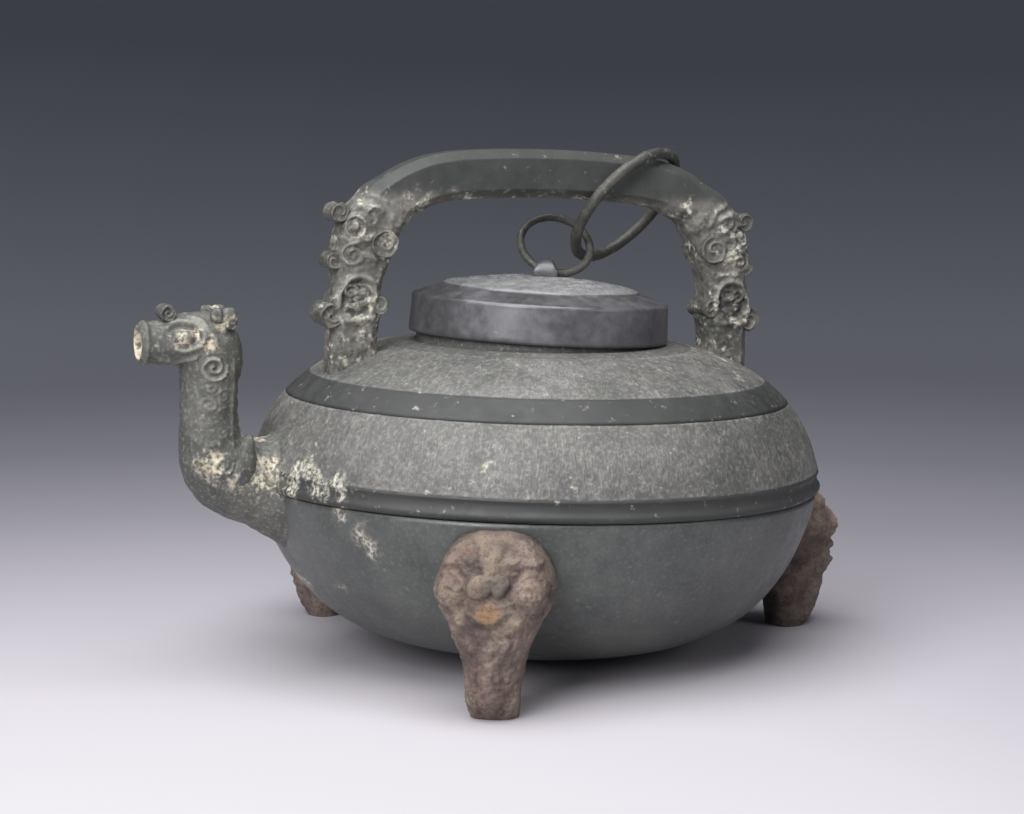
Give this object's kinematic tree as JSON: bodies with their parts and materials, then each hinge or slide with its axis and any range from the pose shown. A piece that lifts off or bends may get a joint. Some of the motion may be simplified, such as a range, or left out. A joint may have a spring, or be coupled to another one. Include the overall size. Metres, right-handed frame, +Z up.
{
  "type": "bronze he wine vessel",
  "caption": "Ancient bronze wine vessel with a squat round body, animal-headed spout, arched handle, lid with linked rings, and mask feet.",
  "frame": {"origin": "on the ground, below the middle of the whole vessel's length and width", "axes": "+Z up, -X toward the spout's mouth, the handle's arch lies in the XZ plane, one foot is at +X and two are toward the spout"},
  "size_m": [0.3106, 0.2556, 0.2117],
  "materials": {
    "bronze_body": "old bronze with an even dark grey-green patina, paler in the cast pattern, with tan and pale green crusts",
    "bronze_spout": "old bronze with a dark grey-green patina and cream crusts",
    "bronze_handle": "old bronze with a grey-green patina and greenish white corrosion on the heads",
    "bronze_lid": "old bronze with a smooth dark grey patina and a soft sheen",
    "bronze_rings": "old bronze, dark and slightly worn",
    "iron_feet": "rusted iron, rough, brown with orange and grey patches"
  },
  "bodies": {
    "root": {"body": "bronze_body", "spout": "bronze_spout", "handle": "bronze_handle", "lid": "bronze_lid", "lid_ring": "bronze_rings", "handle_ring": "bronze_rings", "foot_rear": "iron_feet", "foot_left": "iron_feet", "foot_right": "iron_feet"}
  },
  "joints": []
}
